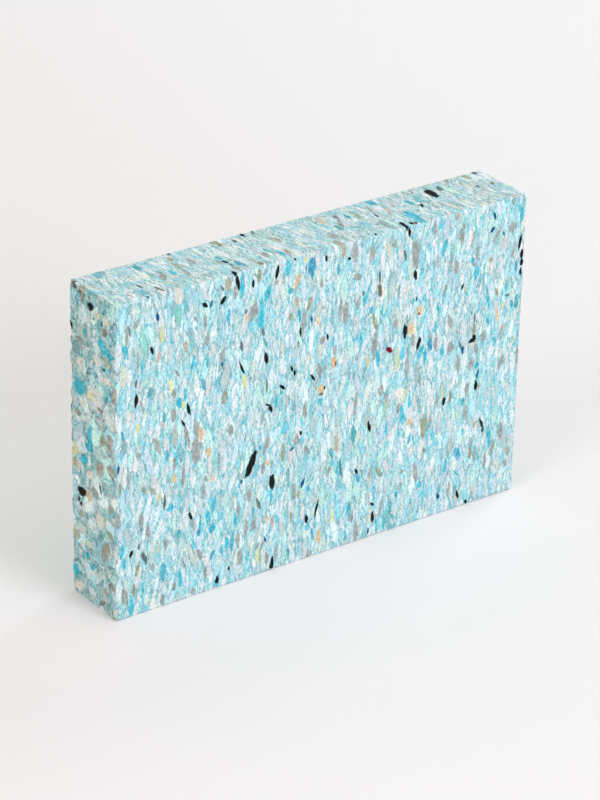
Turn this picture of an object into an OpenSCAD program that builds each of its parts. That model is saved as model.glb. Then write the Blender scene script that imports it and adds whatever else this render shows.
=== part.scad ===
// Chip foam block, standing on one of its long sides.
//
// The block is one piece of rebonded foam: soft chips pressed together with a
// binder into a big slab, which a bandsaw then cuts into blocks. Five of its
// faces are sawn. The sixth, the end towards -X, lay against the mould, so it
// keeps the round crowns of its chips, with the gaps of torn chips at its back.
//
// +X runs along the length towards the sawn end, +Y to the back and +Z up.
// The origin is the middle of the long side that the block stands on.

/* [Block] */
// Length, from the proudest crown of the moulded end to the sawn end
length = 305; // [200:1:400]
// Thickness, front to back
thickness = 47.5; // [30:0.5:90]
// Height, as the block stands
height = 206; // [120:1:300]
// Radius that soft foam takes along an edge between two sawn faces
edge_radius = 1.4; // [0.5:0.1:3]

/* [Moulded end] */
// Distance from the middle of one chip crown to the next
chip_pitch = 11; // [9:0.5:16]
// How far a crown stands over the valley beside it
crown_height = 0.8; // [0.5:0.1:1.5]
// How far the shyest crown sits back from the proudest
crown_setback = 0.6; // [0.2:0.1:1]
// How far a crown strays from its place in the rows, as a share of the pitch
crown_stray = 0.22; // [0:0.02:0.3]

/* [Torn chips] */
// Radius of the gap that a torn chip leaves in the back edge of the moulded end
gap_radius = 4; // [3:0.5:6]
// How deep such a gap reaches into the block
gap_depth = 1.8; // [1:0.1:2.5]
// Height of the lowest gap over the standing side
gap_start = 128; // [80:1:140]
// Distance from one gap up to the next
gap_spacing = 17.5; // [14:0.5:22]

/* [Hidden] */
$fn = 64;

// A crown is a ball that meets its neighbour one crown height below its top.
crown_radius = (pow(chip_pitch / 2, 2) + pow(crown_height, 2)) / (2 * crown_height);
crown_columns = max(2, round(thickness / chip_pitch));
crown_rows = max(2, round(height / chip_pitch));
crown_seed = 11;
setback_steps = 4;

// Binder fills what lies deeper than the valleys, up to this plane.
binder_depth = crown_height + crown_setback;
// Every crown is rooted this far into the binder.
crown_root = 0.4;

gap_count = 3;
// The saw cuts go this far past the moulded end, to leave its crowns whole.
saw_overrun = 5;

// A rectangle about the origin with round corners
module round_rectangle(width, depth, radius) {
    square([width - 2 * radius, depth], center = true);
    square([width, depth - 2 * radius], center = true);
    for (side_x = [-1, 1], side_y = [-1, 1])
        translate([side_x * (width / 2 - radius), side_y * (depth / 2 - radius)])
            circle(radius);
}

// What the saw leaves: three crossing cuts, each soft along its own edges
module sawn_slab() {
    sawn_length = length + saw_overrun;
    translate([-saw_overrun / 2, 0, height / 2])
        intersection() {
            rotate([90, 0, 90])
                linear_extrude(sawn_length, center = true)
                    round_rectangle(thickness, height, edge_radius);
            rotate([90, 0, 0])
                linear_extrude(thickness, center = true)
                    round_rectangle(sawn_length, height, edge_radius);
            linear_extrude(height, center = true)
                round_rectangle(sawn_length, thickness, edge_radius);
        }
}

// One crown: the cap of a ball, with its rim at x = 0 and its top towards -X
module crown(cap_height) {
    rotate([0, -90, 0])
        rotate_extrude()
            intersection() {
                translate([0, cap_height - crown_radius]) circle(crown_radius);
                square([crown_radius, cap_height]);
            }
}

// The crowns of the moulded end stand in rows, every other row moved sideways
// by half a pitch, and each crown strays a little and sits back by its own step.
module moulded_crowns() {
    for (row = [0 : crown_rows - 1], column = [0 : crown_columns]) {
        stray = rands(-crown_stray, crown_stray, 2, crown_seed + row * 10 + column);
        row_shift = row % 2 == 0 ? 0.25 : -0.25;
        y = thickness * ((column + row_shift + stray[0]) / crown_columns - 0.5);
        z = height * (row + 0.5 + stray[1]) / crown_rows;
        step = (3 * row + 2 * column) % (setback_steps + 1);
        setback = crown_setback * step / setback_steps;
        translate([-length / 2 + binder_depth + crown_root, y, z])
            crown(binder_depth + crown_root - setback);
    }
}

// Each torn chip leaves a round hollow in the back edge of the moulded end.
module torn_gaps() {
    for (gap = [0 : gap_count - 1])
        translate([
            -length / 2 - gap_radius + gap_depth,
            thickness / 2,
            gap_start + gap * gap_spacing
        ])
            sphere(gap_radius);
}

module foam_block() {
    color([0.71, 0.85, 0.87])
    difference() {
        intersection() {
            sawn_slab();
            union() {
                translate([-length / 2 + binder_depth, -thickness / 2, 0])
                    cube([length - binder_depth, thickness, height]);
                moulded_crowns();
            }
        }
        torn_gaps();
    }
}

foam_block();
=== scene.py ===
# %% [markdown]
# # A block of chip foam
# A firm exercise block, sawn from a slab of rebonded foam. Offcuts of many foams
# are shredded into chips, mixed with a binder and squeezed along one direction
# until they set. The saw then cuts through the chips, so every side shows a
# mosaic of flat lens shapes: thin where you look across the squeeze, round where
# you look along it.
#
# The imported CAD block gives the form. This lesson wraps it in a fine skin, lays
# the mosaic through that skin as a solid texture, and lets the same texture carve
# the relief, so colour and form agree all over the block.

# %% Load the frame
import math

import bpy
import numpy as np
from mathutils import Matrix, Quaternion, Vector
from mathutils.bvhtree import BVHTree


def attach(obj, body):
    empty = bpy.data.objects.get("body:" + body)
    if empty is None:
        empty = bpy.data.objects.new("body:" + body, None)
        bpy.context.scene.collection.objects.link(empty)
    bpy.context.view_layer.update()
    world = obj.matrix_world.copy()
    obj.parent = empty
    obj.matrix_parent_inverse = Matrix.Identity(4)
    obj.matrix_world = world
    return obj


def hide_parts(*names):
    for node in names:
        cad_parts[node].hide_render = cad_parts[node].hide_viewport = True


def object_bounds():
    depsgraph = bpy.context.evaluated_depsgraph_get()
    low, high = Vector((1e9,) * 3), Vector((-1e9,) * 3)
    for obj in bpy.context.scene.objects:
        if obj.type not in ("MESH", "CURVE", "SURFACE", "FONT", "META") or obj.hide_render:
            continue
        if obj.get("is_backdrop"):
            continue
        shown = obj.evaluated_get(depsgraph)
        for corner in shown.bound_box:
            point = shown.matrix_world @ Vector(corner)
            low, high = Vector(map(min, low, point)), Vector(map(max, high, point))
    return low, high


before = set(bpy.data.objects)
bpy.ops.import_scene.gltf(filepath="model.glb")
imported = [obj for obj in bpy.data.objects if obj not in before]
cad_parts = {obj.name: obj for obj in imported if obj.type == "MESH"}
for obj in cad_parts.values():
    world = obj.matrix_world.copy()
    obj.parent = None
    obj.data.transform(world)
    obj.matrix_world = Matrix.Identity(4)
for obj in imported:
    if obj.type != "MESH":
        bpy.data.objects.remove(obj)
cad_low, cad_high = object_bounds()
cad_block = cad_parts["foam_block"]
MM = 0.001
length, thickness, height = (cad_high - cad_low) / MM
print(f"the block is {length:.1f} x {thickness:.1f} x {height:.1f} mm")

# %% [markdown]
# ## The camera
# A long lens far away keeps the block's edges almost parallel, as in a catalogue.
# The camera is placed by two angles round the block and a distance from a point
# near its middle, and the small roll is a turn about the lens's own axis.

# %% Place the camera
view_azimuth = math.radians(-36.6)
view_elevation = math.radians(26.18)
view_roll = math.radians(1.24)
view_distance = 1.9625
view_target = Vector((-0.00175, 0.0, 0.0965))
lens_length = 144.33
camera_reach = 20.0

towards_camera = Vector((
    math.sin(view_azimuth) * math.cos(view_elevation),
    -math.cos(view_azimuth) * math.cos(view_elevation),
    math.sin(view_elevation),
))
camera = bpy.data.objects.new("studio_camera", bpy.data.cameras.new("studio_camera"))
camera.data.lens = lens_length
camera.data.clip_end = camera_reach
camera.location = view_target + towards_camera * view_distance
camera.rotation_mode = "QUATERNION"
aim = (-towards_camera).to_track_quat("-Z", "Y")
camera.rotation_quaternion = aim @ Quaternion((0, 0, 1), view_roll)
bpy.context.collection.objects.link(camera)
bpy.context.scene.camera = camera
print(f"camera at {tuple(round(c, 3) for c in camera.location)}")

# %% [markdown]
# ## The studio
# The block stands on plain pale paper that starts to curve up just behind it, so there is no
# horizon. The key is a soft, slightly cool light in front, a little to the right, so the block's
# shadow falls behind it and the end face stays in half shade. A light on the far left opens that
# shade, one on the far right brightens the paper on its side, and a wide, warmer one hangs above.
# Light is also painted into the paper's colour: a painted pool of light at the foot of the block,
# where the block's contact shade would fall, and painted light, paler and cooler, towards the far
# right.

# %% Lay the paper sweep
paper_front = -3.0
curve_start = 0.35
sweep_radius = 2.0
paper_half_width = 5.0
wall_height = 4.0
sweep_steps = 24
paper_roughness = 0.9
paper_specular = 0.1


def sweep_profile():
    """The paper's side view: floor, a quarter turn, then wall, as (y, z) pairs."""
    points = [(paper_front, 0.0)]
    for step in range(sweep_steps + 1):
        turn = step / sweep_steps * math.pi / 2
        y = curve_start + sweep_radius * math.sin(turn)
        z = sweep_radius - sweep_radius * math.cos(turn)
        points.append((y, z))
    points.append((curve_start + sweep_radius, wall_height))
    return points


profile = sweep_profile()
paper_points = [(x, y, z) for y, z in profile for x in (-paper_half_width, paper_half_width)]
paper_faces = [(2 * i, 2 * i + 1, 2 * i + 3, 2 * i + 2) for i in range(len(profile) - 1)]
paper_mesh = bpy.data.meshes.new("paper_sweep")
paper_mesh.from_pydata(paper_points, [], paper_faces)
paper_mesh.shade_smooth()
paper = bpy.data.objects.new("paper_sweep", paper_mesh)
bpy.context.collection.objects.link(paper)
paper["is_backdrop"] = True

paper_finish = bpy.data.materials.new("pale_paper")
paper_finish.use_nodes = True
paper_shader = paper_finish.node_tree.nodes["Principled BSDF"]
paper_shader.inputs["Roughness"].default_value = paper_roughness
paper_shader.inputs["Specular IOR Level"].default_value = paper_specular
paper_mesh.materials.append(paper_finish)
print(f"paper sweep of {len(paper_faces)} strips")

# %% [markdown]
# ## Small helpers for node trees
# The paper needs a few nodes and the mosaic many. The mosaic is also needed twice:
# the material colours it, and Geometry Nodes carve it. Maths, Noise and Voronoi
# nodes are the same in both kinds of tree, so these helpers take any tree, and one
# function can then build a pattern in both.

# %% Add and link nodes


def plug(tree, value, socket):
    """Feeds an input socket from another socket, or sets it to a plain value."""
    if isinstance(value, bpy.types.NodeSocket):
        tree.links.new(value, socket)
    else:
        socket.default_value = value


def maths(tree, operation, *values):
    """A Math node's result."""
    node = tree.nodes.new("ShaderNodeMath")
    node.operation = operation
    for value, socket in zip(values, node.inputs):
        plug(tree, value, socket)
    return node.outputs["Value"]


def times(tree, first, second):
    """The product of two numbers."""
    return maths(tree, "MULTIPLY", first, second)


def rest_of(tree, share):
    """What a share leaves of the whole."""
    return maths(tree, "SUBTRACT", 1.0, share)


def swing(tree, level):
    """How far a random level lies from its middle, which is a half."""
    return maths(tree, "SUBTRACT", level, 0.5)


def between(tree, share, start, finish):
    """The value that lies a share of the way from start to finish."""
    return maths(tree, "MULTIPLY_ADD", share, finish - start, start)


def vector_maths(tree, operation, *values):
    """A Vector Math node's resulting vector."""
    node = tree.nodes.new("ShaderNodeVectorMath")
    node.operation = operation
    for value, socket in zip(values, node.inputs):
        plug(tree, value, socket)
    return node.outputs["Vector"]


def axes_of(tree, vector):
    """A vector's numbers along X, Y and Z."""
    node = tree.nodes.new("ShaderNodeSeparateXYZ")
    plug(tree, vector, node.inputs["Vector"])
    return node.outputs


def smooth_step(tree, value, low, high):
    """0 below low and 1 above high, with a smooth ramp between."""
    node = tree.nodes.new("ShaderNodeMapRange")
    node.interpolation_type = "SMOOTHSTEP"
    plug(tree, value, node.inputs["Value"])
    plug(tree, low, node.inputs["From Min"])
    plug(tree, high, node.inputs["From Max"])
    return node.outputs["Result"]


def noise(tree, place, grain, detail=2.0):
    """Noise whose blotches are about a grain across. Gives a number and a colour."""
    node = tree.nodes.new("ShaderNodeTexNoise")
    plug(tree, place, node.inputs["Vector"])
    node.inputs["Scale"].default_value = 1.0 / grain
    node.inputs["Detail"].default_value = detail
    return node.outputs[0], node.outputs["Color"]


def wander(tree, place, grain, reach, detail=2.0):
    """A step of up to half of reach along each axis, drawn by noise."""
    _, random = noise(tree, place, grain, detail)
    centred = vector_maths(tree, "SUBTRACT", random, (0.5, 0.5, 0.5))
    return vector_maths(tree, "MULTIPLY", centred, reach)


print("node helpers ready")

# %% Mix colours
COLOUR_BELOW, COLOUR_ABOVE, COLOUR_RESULT = 6, 7, 2


def mix_colours(tree, factor, below, above):
    """A Mix node's colour. It has sockets for other kinds too, so these go by number."""
    node = tree.nodes.new("ShaderNodeMix")
    node.data_type = "RGBA"
    plug(tree, factor, node.inputs["Factor"])
    plug(tree, below, node.inputs[COLOUR_BELOW])
    plug(tree, above, node.inputs[COLOUR_ABOVE])
    return node.outputs[COLOUR_RESULT]


print("colours mix in any tree of materials")

# %% Paint light on the paper at the foot of the block and to the far right
paper_tone = (0.89, 0.874, 0.865, 1.0)
# painted light: the far tone is painted light towards the far right, the foot tone a painted pool
# of light at the block's foot
painted_far_light_tone = (0.917, 0.914, 0.919, 1.0)
painted_foot_light_tone = (0.94, 0.9, 0.892, 1.0)
far_light_fade = ("X", 0.1, 0.6)
foot_light_fades = (("Y", -0.11, -0.04), ("Y", 0.03, 0.0), ("X", -0.26, -0.17), ("X", 0.18, 0.12))
paper_tree = paper_finish.node_tree
paper_axes = axes_of(paper_tree, paper_tree.nodes.new("ShaderNodeTexCoord").outputs["Object"])


def painted_light_fade(axis, start, end):
    """0 where a fade of the paper's painted light along an axis starts and 1 where it ends, in
    metres.
    """
    return smooth_step(paper_tree, paper_axes[axis], start, end)


foot_light_share = 1.0
for fade in foot_light_fades:
    foot_light_share = times(paper_tree, foot_light_share, painted_light_fade(*fade))
paper_colour = mix_colours(paper_tree, painted_light_fade(*far_light_fade), paper_tone, painted_far_light_tone)
paper_colour = mix_colours(paper_tree, foot_light_share, paper_colour, painted_foot_light_tone)
plug(paper_tree, paper_colour, paper_shader.inputs["Base Color"])
print(f"the paper has three tones and {1 + len(foot_light_fades)} fades")

# %% Hang the lights
cool_white = (0.87, 0.86, 0.99)
warm_white = (1.0, 0.82, 0.8)
soft_white = (0.97, 0.95, 0.92)
clear_white = (0.93, 1.0, 0.99)
surround_colour = (0.98, 1.0, 0.96, 1.0)
surround_strength = 0.53
block_middle = (0.0, 0.0, 0.1)


def hang_light(name, place, size, power, colour):
    """A square soft light at a place in metres, turned to face the block."""
    lamp = bpy.data.lights.new(name, "AREA")
    lamp.shape = "SQUARE"
    lamp.size = size
    lamp.energy = power
    lamp.color = colour
    holder = bpy.data.objects.new(name, lamp)
    holder.location = place
    facing = Vector(block_middle) - Vector(place)
    holder.rotation_mode = "QUATERNION"
    holder.rotation_quaternion = facing.to_track_quat("-Z", "Y")
    bpy.context.collection.objects.link(holder)


hang_light("key_light", (0.45, -2.4, 1.5), 1.0, 33.0, cool_white)
hang_light("left_light", (-2.4, -0.7, 1.8), 0.9, 15.2, soft_white)
hang_light("right_light", (2.4, 0.8, 1.6), 1.0, 14.4, clear_white)
hang_light("top_light", (0.3, -0.9, 3.0), 2.2, 13.5, warm_white)

world = bpy.data.worlds.new("studio_surround")
world.use_nodes = True
surround = world.node_tree.nodes["Background"]
surround.inputs["Color"].default_value = surround_colour
surround.inputs["Strength"].default_value = surround_strength
bpy.context.scene.world = world
bpy.context.scene.view_settings.view_transform = "Standard"
print("four soft lights and a pale surround")

# %% [markdown]
# ## The skin
# A displaced surface needs many small faces where its detail is fine. The chips
# are thin along the length and tall across it, so the skin's grid is finer along
# the length. It starts as a plain box of grid lines, with a few extra lines beside
# each edge, and a Shrinkwrap modifier lays it on the CAD block. That way the soft
# edges, the crowns of the moulded end and the gaps of its torn chips all come from
# the CAD model.

# %% Draw the grid lines
edge_offsets = np.array([0.0, 0.3, 0.8])
edge_band = 1.4
grid_steps = (1.1, 1.62, 1.66)


def grid_lines(low, high, step):
    """Line positions from low to high in mm, closer together beside both ends."""
    first = low + edge_band
    last = high - edge_band
    inner = np.linspace(first, last, round((last - first) / step) + 1)
    return np.concatenate([low + edge_offsets, inner, (high - edge_offsets)[::-1]])


lines = [grid_lines(cad_low[a] / MM, cad_high[a] / MM, grid_steps[a]) for a in range(3)]
print("grid lines along X, Y and Z:", [len(axis_lines) for axis_lines in lines])

# %% [markdown]
# A box's six sides share the points of their edges. Each side here is a lattice of
# three whole numbers, one for each axis, and equal triples become one shared point.
# The sides also get their place on the flat net of the block, which is the UV map:
# the two broad sides and the two long narrow ones stand in a stack, with the ends
# beside them.

# %% Fold the six sides into one closed mesh
net_gap = 3.0
running_axes = ((1, 2), (2, 0), (0, 1))
side_axes = ((1, 2), (0, 2), (0, 1))
net_places = {
    (1, 0): (0.0, 0.0),
    (1, 1): (0.0, height + net_gap),
    (2, 0): (0.0, 2 * (height + net_gap)),
    (2, 1): (0.0, 2 * (height + net_gap) + thickness + net_gap),
    (0, 0): (length + net_gap, 0.0),
    (0, 1): (length + net_gap, height + net_gap),
}
net_width = length + net_gap + thickness
net_height = 2 * (height + net_gap) + 2 * thickness + net_gap


def side_lattice(axis, end):
    """One side's quads as (quad, corner, axis) whole numbers, facing outwards."""
    u_axis, v_axis = running_axes[axis]
    u, v = np.meshgrid(np.arange(len(lines[u_axis]) - 1), np.arange(len(lines[v_axis]) - 1))
    corners = ((0, 0), (1, 0), (1, 1), (0, 1)) if end else ((0, 0), (0, 1), (1, 1), (1, 0))
    quads = np.zeros((u.size, 4, 3), int)
    quads[:, :, axis] = end * (len(lines[axis]) - 1)
    for corner, (du, dv) in enumerate(corners):
        quads[:, corner, u_axis] = u.ravel() + du
        quads[:, corner, v_axis] = v.ravel() + dv
    return quads


def net_coordinates(quads, axis, end):
    """The UV of each corner of a side: its two flat coordinates, set in its place."""
    across, up = side_axes[axis]
    u = lines[across][quads[:, :, across]] - lines[across][0]
    v = lines[up][quads[:, :, up]] - lines[up][0]
    left, bottom = net_places[(axis, end)]
    return np.stack([(u + left) / net_width, (v + bottom) / net_height], axis=-1)


all_quads = []
all_uvs = []
for side_axis, side_end in net_places:
    side_quads = side_lattice(side_axis, side_end)
    all_quads.append(side_quads)
    all_uvs.append(net_coordinates(side_quads, side_axis, side_end))
all_quads = np.concatenate(all_quads)
all_uvs = np.concatenate(all_uvs)

triples, point_of_corner = np.unique(all_quads.reshape(-1, 3), axis=0, return_inverse=True)
box_points = np.stack([lines[a][triples[:, a]] for a in range(3)], axis=-1)
print(f"{len(box_points)} points and {len(all_quads)} quads")

# %% [markdown]
# The moulded end is lumpy: its crowns lie up to a few millimetres inside the plain
# box. Lines that stayed out there would be crushed together by the wrap, so they
# are first slid back along the block to what a ray along the length meets, less and
# less over the first few millimetres of the sides.

# %% Slide the end's lines back to its crowns
slide_band = 6.0
probe_inset = 1.0
probe_start = 5.0
probe_low = (np.array(cad_low) / MM + probe_inset)[1:]
probe_high = (np.array(cad_high) / MM - probe_inset)[1:]
low_x = cad_low[0] / MM
cad_surface = BVHTree.FromObject(cad_block, bpy.context.evaluated_depsgraph_get())
for number in np.flatnonzero(box_points[:, 0] < low_x + slide_band):
    x, *side_place = box_points[number]
    y, z = np.clip(side_place, probe_low, probe_high)
    hit = cad_surface.ray_cast(Vector((low_x - probe_start, y, z)) * MM, Vector((1, 0, 0)))[0]
    slide = hit.x / MM - low_x
    box_points[number, 0] = x + slide * (1.0 - (x - low_x) / slide_band)
print(f"the end's crowns start at x = {box_points[:, 0].min():.2f} mm")

# %% Make the mesh
skin_mesh = bpy.data.meshes.new("foam_skin")
skin_mesh.from_pydata(box_points * MM, [], point_of_corner.reshape(-1, 4).tolist())
uv_map = skin_mesh.uv_layers.new(name="OFBake")
uv_map.uv.foreach_set("vector", all_uvs.astype(np.float32).ravel())
skin_mesh.shade_smooth()
skin = bpy.data.objects.new("foam_skin", skin_mesh)
bpy.context.collection.objects.link(skin)
print(f"skin with the UV map {uv_map.name}")

# %% Wrap the skin on the CAD block


def bake_modifiers(piece):
    """Replaces a piece's mesh with what its modifiers make of it."""
    bpy.context.view_layer.update()
    shaped = piece.evaluated_get(bpy.context.evaluated_depsgraph_get())
    flat_mesh = piece.data
    piece.data = bpy.data.meshes.new_from_object(shaped)
    piece.modifiers.clear()
    bpy.data.meshes.remove(flat_mesh)


def points_of(piece):
    """A piece's points as rows of three numbers, in metres."""
    points = np.empty(len(piece.data.vertices) * 3, np.float32)
    piece.data.vertices.foreach_get("co", points)
    return points.reshape(-1, 3)


wrap = skin.modifiers.new("wrap_on_block", "SHRINKWRAP")
wrap.target = cad_block
wrap.wrap_method = "NEAREST_SURFACEPOINT"
bake_modifiers(skin)
rest_points = points_of(skin) / MM
print(f"the wrap moved the skin by up to {np.abs(rest_points - box_points).max():.2f} mm")

# %% [markdown]
# ## Node groups
# A node group is a small tree with named sockets that other trees can place like
# one node. The chips use one, built once for each kind of tree.

# %% Make and place node groups
FLOAT = "NodeSocketFloat"
VECTOR = "NodeSocketVector"
TREES = ("ShaderNodeTree", "GeometryNodeTree")


def new_group(name, tree_type, inputs, outputs):
    """An empty node group with named sockets, and its input and output nodes."""
    group = bpy.data.node_groups.new(name, tree_type)
    for socket_name, socket_type in inputs:
        group.interface.new_socket(socket_name, in_out="INPUT", socket_type=socket_type)
    for socket_name, socket_type in outputs:
        group.interface.new_socket(socket_name, in_out="OUTPUT", socket_type=socket_type)
    return group, group.nodes.new("NodeGroupInput"), group.nodes.new("NodeGroupOutput")


def place_group(tree, group, **values):
    """Puts a node group in a tree. Underscores in the names stand for spaces."""
    kind = "ShaderNodeGroup" if tree.bl_idname == "ShaderNodeTree" else "GeometryNodeGroup"
    node = tree.nodes.new(kind)
    node.node_tree = group
    for name, value in values.items():
        plug(tree, value, node.inputs[name.replace("_", " ")])
    return node.outputs


print("group helpers ready for", " and ".join(TREES))

# %% [markdown]
# ## One layer of chips
# Voronoi cells scatter points with one random colour each. In space squashed along
# the block, each point carries a chip: a lens, pointed at its rim, thin along X and
# broad along Y and Z. Only some cells hold a chip, so finer layers show between the
# chips of a coarser one, as crumb fills the gaps between big chips.

# %% Build the chip layer
lens_half_breadth = 0.72
chip_size_spread = 0.38
chip_lean = 1.5


def build_chip_layer(tree_type):
    """A group that gives one layer's mask, two random tones and its crown height."""
    group, given, result = new_group(
        f"chip_layer_{tree_type[:8]}",
        tree_type,
        [
            ("Place", VECTOR), ("Pitch", VECTOR), ("Shift", VECTOR),
            ("Share", FLOAT), ("Girth", FLOAT), ("Soft", FLOAT),
        ],
        [("Inside", FLOAT), ("Tone", FLOAT), ("Shade", FLOAT), ("Crown", FLOAT), ("Held", FLOAT)],
    )
    squashed = vector_maths(group, "DIVIDE", given.outputs["Place"], given.outputs["Pitch"])
    shifted = vector_maths(group, "ADD", squashed, given.outputs["Shift"])
    cells = group.nodes.new("ShaderNodeTexVoronoi")
    plug(group, shifted, cells.inputs["Vector"])
    cells.inputs["Scale"].default_value = 1.0
    from_middle = vector_maths(group, "SUBTRACT", shifted, cells.outputs["Position"])
    offset = axes_of(group, from_middle)
    random = axes_of(group, cells.outputs["Color"])
    second = group.nodes.new("ShaderNodeTexWhiteNoise")
    second.noise_dimensions = "3D"
    plug(group, cells.outputs["Color"], second.inputs["Vector"])
    lean = axes_of(group, second.outputs["Color"])

    across = offset["X"]
    for axis, level in (("Y", "X"), ("Z", "Y")):
        slope = times(group, swing(group, lean[level]), chip_lean)
        across = maths(group, "MULTIPLY_ADD", offset[axis], slope, across)
    thin = maths(group, "DIVIDE", maths(group, "ABSOLUTE", across), given.outputs["Girth"])
    broad = [
        maths(group, "POWER", maths(group, "DIVIDE", offset[axis], lens_half_breadth), 2.0)
        for axis in ("Y", "Z")
    ]
    reach = maths(group, "ADD", thin, maths(group, "ADD", *broad))
    size = maths(group, "MULTIPLY_ADD", lean["Z"], chip_size_spread, 1.0 - chip_size_spread)
    crown = maths(group, "SUBTRACT", size, reach)
    held = maths(group, "LESS_THAN", random["Y"], given.outputs["Share"])
    half_soft = times(group, given.outputs["Soft"], 0.5)
    edge = smooth_step(group, crown, times(group, half_soft, -1.0), half_soft)
    inside = times(group, edge, held)

    results = (inside, random["X"], random["Z"], crown, held)
    for value, socket in zip(results, result.inputs):
        plug(group, value, socket)
    return group


chip_layers = {tree_type: build_chip_layer(tree_type) for tree_type in TREES}
print("chip layer built for", ", ".join(chip_layers))

# %% [markdown]
# ## The bed of chips
# Layers of chips lie over each other, from crumb up to big chips. Before that, two
# noises bend the space they lie in, a slow one for the way chips lean round each
# other, and a quick one that frays their outlines. Against the mould no saw cut the
# chips through: they lie there with their whole broad faces, so they count as
# thicker near that end and more of each shows. All of them lean a little to one side,
# because the press was never quite square.

# %% Build the bed
lean_by_height = -0.042
lean_by_depth = 0.1
sway_grain = 16.0
sway_reach = (3.4, 5.0, 5.0)
fray_grain = 2.4
fray_reach = (1.3, 2.2, 2.2)
pressed_depth = 1.5
pressed_girth = 1.5
pressed_share = 0.4
layer_sizes = {
    "crumb": dict(
        Pitch=(2.3, 6.2, 6.2), Shift=(7.3, 5.9, 23.7), Share=1.0, Girth=0.72, Soft=0.34
    ),
    "small": dict(
        Pitch=(3.15, 8.8, 8.7), Shift=(4.7, 19.1, 8.3), Share=0.95, Girth=0.68, Soft=0.3
    ),
    "middle": dict(
        Pitch=(4.5, 12.6, 12.9), Shift=(11.9, 2.3, 5.1), Share=0.85, Girth=0.62, Soft=0.24
    ),
    "big": dict(
        Pitch=(6.7, 16.5, 17.0), Shift=(3.1, 7.7, 1.3), Share=0.36, Girth=0.52, Soft=0.2
    ),
}


def bent_place(tree, place):
    """The place in mm, leaned over, then bent by a slow noise and a quick one."""
    x, y, z = axes_of(tree, place)
    leaned = maths(tree, "MULTIPLY_ADD", z, lean_by_height, x)
    leaned = maths(tree, "MULTIPLY_ADD", y, lean_by_depth, leaned)
    joined = tree.nodes.new("ShaderNodeCombineXYZ")
    for part, socket in zip((leaned, y, z), joined.inputs):
        plug(tree, part, socket)
    place = joined.outputs["Vector"]
    for grain, reach, detail in ((sway_grain, sway_reach, 1.0), (fray_grain, fray_reach, 2.0)):
        place = vector_maths(tree, "ADD", place, wander(tree, place, grain, reach, detail))
    return place


def near_end(tree, place):
    """1 on the moulded end, falling to 0 a little way in from it."""
    start = -length / 2 + pressed_depth
    inward = smooth_step(tree, axes_of(tree, place)["X"], start, start + pressed_depth)
    return rest_of(tree, inward)


def lay_layers(tree, place):
    """The four chip layers at a place, as a dictionary of their outputs."""
    bent = bent_place(tree, place)
    by_end = near_end(tree, place)
    pressed = between(tree, by_end, 1.0, pressed_girth)
    layers = {}
    for name, sizes in layer_sizes.items():
        share = maths(tree, "MULTIPLY_ADD", by_end, pressed_share, sizes["Share"])
        own = dict(sizes, Girth=times(tree, pressed, sizes["Girth"]), Share=share)
        layers[name] = place_group(tree, chip_layers[tree.bl_idname], Place=bent, **own)
    return layers


print("layers:", ", ".join(f"{name} {sizes['Pitch'][0]} mm" for name, sizes in layer_sizes.items()))

# %% [markdown]
# ## The relief
# Chips spring back a little once the saw has passed, each by its own amount, so a
# sawn side is a low landscape of domes with the binder in the valleys. Geometry
# Nodes read the same bed of chips that the colours come from and push the skin
# inwards, never outwards, because the saw set the outermost level. A last clip to
# the CAD block's box makes sure of that at the corners too.

# %% Measure the bed's height
valley_depth = 0.5
dome_height = 0.62
dome_foot = -0.1
dome_span = 0.55
spring_spread = 0.4


def bed_height(tree, layers):
    """How far the surface lies above its lowest valley, in mm, from 0 to dome_height."""
    level = 0.0
    for name in layer_sizes:
        layer = layers[name]
        dome = smooth_step(tree, layer["Crown"], dome_foot, dome_span)
        spring = maths(tree, "MULTIPLY_ADD", layer["Shade"], spring_spread, 1.0 - spring_spread)
        own = times(tree, times(tree, dome, spring), dome_height)
        kept = times(tree, level, rest_of(tree, layer["Inside"]))
        level = maths(tree, "MULTIPLY_ADD", own, layer["Inside"], kept)
    return level


def name_attribute(piece, name, kind, domain, values, key="vector"):
    """Stores one value per point or corner of a piece under a name."""
    attribute = piece.data.attributes.new(name, kind, domain)
    attribute.data.foreach_set(key, np.asarray(values, np.float32).ravel())


name_attribute(skin, "rest_place", "FLOAT_VECTOR", "POINT", rest_points)
print(f"{len(rest_points)} points keep their place from before the carving")

# %% Push the skin in
carve = bpy.data.node_groups.new("carve_relief", "GeometryNodeTree")
carve.interface.new_socket("Geometry", in_out="INPUT", socket_type="NodeSocketGeometry")
carve.interface.new_socket("Geometry", in_out="OUTPUT", socket_type="NodeSocketGeometry")
carve_in = carve.nodes.new("NodeGroupInput")
carve_out = carve.nodes.new("NodeGroupOutput")
stored = carve.nodes.new("GeometryNodeInputNamedAttribute")
stored.data_type = "FLOAT_VECTOR"
stored.inputs["Name"].default_value = "rest_place"
level = bed_height(carve, lay_layers(carve, stored.outputs["Attribute"]))
sink = maths(carve, "MINIMUM", maths(carve, "SUBTRACT", level, valley_depth), 0.0)
outwards = carve.nodes.new("GeometryNodeInputNormal")
push = vector_maths(carve, "SCALE", outwards.outputs["Normal"])
plug(carve, times(carve, sink, MM), push.node.inputs["Scale"])
move = carve.nodes.new("GeometryNodeSetPosition")
plug(carve, carve_in.outputs["Geometry"], move.inputs["Geometry"])
plug(carve, push, move.inputs["Offset"])
plug(carve, move.outputs["Geometry"], carve_out.inputs["Geometry"])
carving = skin.modifiers.new("carve_relief", "NODES")
carving.node_group = carve
bake_modifiers(skin)
carved_points = np.clip(points_of(skin), cad_low, cad_high).astype(np.float32)
skin.data.vertices.foreach_set("co", carved_points.ravel())
sunk = np.linalg.norm(carved_points / MM - rest_points, axis=1)
print(f"the relief sinks the skin by {sunk.mean():.2f} mm on average, {sunk.max():.2f} mm at most")

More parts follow.
